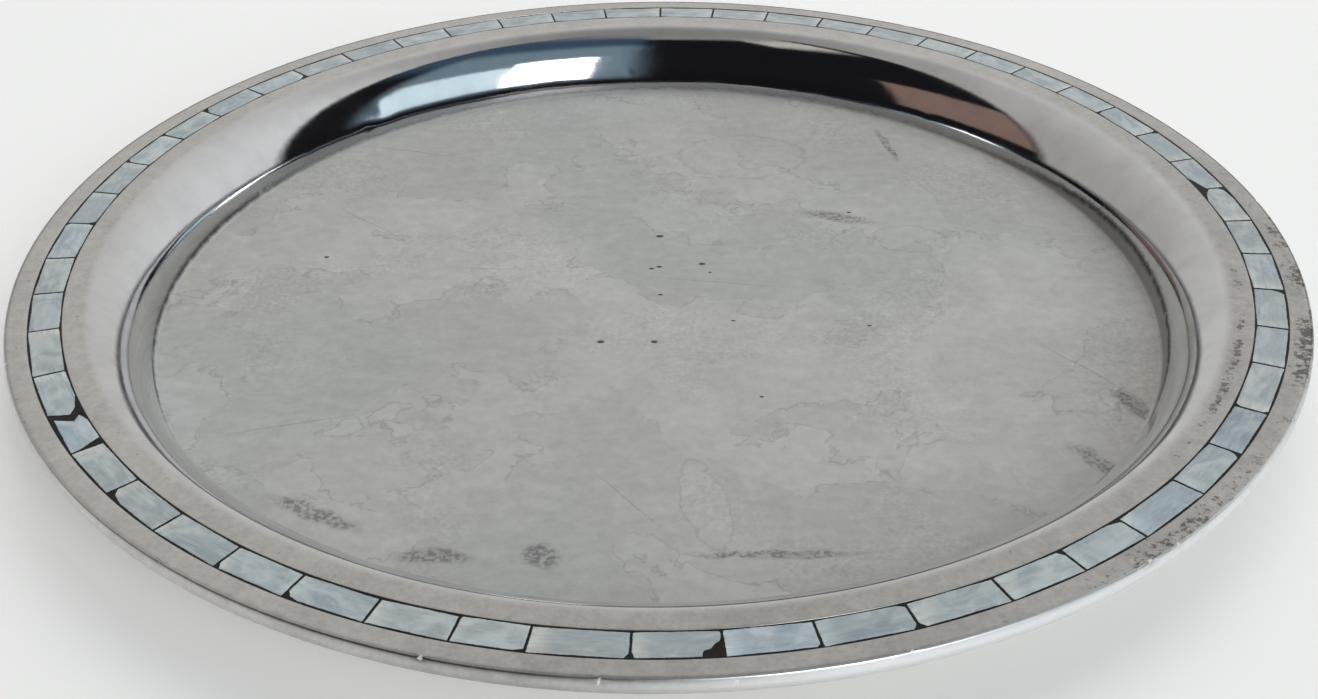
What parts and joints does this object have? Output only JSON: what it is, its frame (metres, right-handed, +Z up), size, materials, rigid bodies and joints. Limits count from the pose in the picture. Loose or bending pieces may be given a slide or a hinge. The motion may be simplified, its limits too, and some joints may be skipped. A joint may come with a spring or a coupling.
{
  "type": "offering plate",
  "caption": "Round silver-coloured metal offering plate with a wide flat rim inlaid with mother-of-pearl tiles in black resin, and a shallow flat-bottomed well.",
  "frame": {"origin": "centre of the plate's underside, on the surface it stands on", "axes": "+Z up, along the plate's axis; -Y is the front. The inlay's first joint is 28 degrees clockwise from the front, seen from above"},
  "size_m": [0.254, 0.254, 0.017],
  "materials": {
    "metal": "satin",
    "resin": "satin",
    "nacre": "gloss"
  },
  "bodies": {
    "root": {"plate_body": "metal", "resin_bed": "resin", "tile_01": "nacre", "tile_02": "nacre", "tile_03": "nacre", "tile_04": "nacre", "tile_05": "nacre", "tile_06": "nacre", "tile_07": "nacre", "tile_08": "nacre", "tile_09": "nacre", "tile_10": "nacre", "tile_11": "nacre", "tile_12": "nacre", "tile_13": "nacre", "tile_14": "nacre", "tile_15": "nacre", "tile_16": "nacre", "tile_17": "nacre", "tile_18": "nacre", "tile_19": "nacre", "tile_20": "nacre", "tile_21": "nacre", "tile_22": "nacre", "tile_23": "nacre", "tile_24": "nacre", "tile_25": "nacre", "tile_26": "nacre", "tile_27": "nacre", "tile_28": "nacre", "tile_29": "nacre", "tile_30": "nacre", "tile_31": "nacre", "tile_32": "nacre", "tile_33": "nacre", "tile_34": "nacre", "tile_35": "nacre", "tile_36": "nacre", "tile_37": "nacre", "tile_38": "nacre", "tile_39": "nacre", "tile_40": "nacre", "tile_41": "nacre", "tile_42": "nacre", "tile_43": "nacre", "tile_44": "nacre", "tile_45": "nacre", "tile_46": "nacre", "tile_47": "nacre", "tile_48": "nacre", "tile_49": "nacre", "tile_50": "nacre", "tile_51": "nacre", "tile_52": "nacre", "tile_53": "nacre", "tile_54": "nacre"}
  },
  "joints": []
}
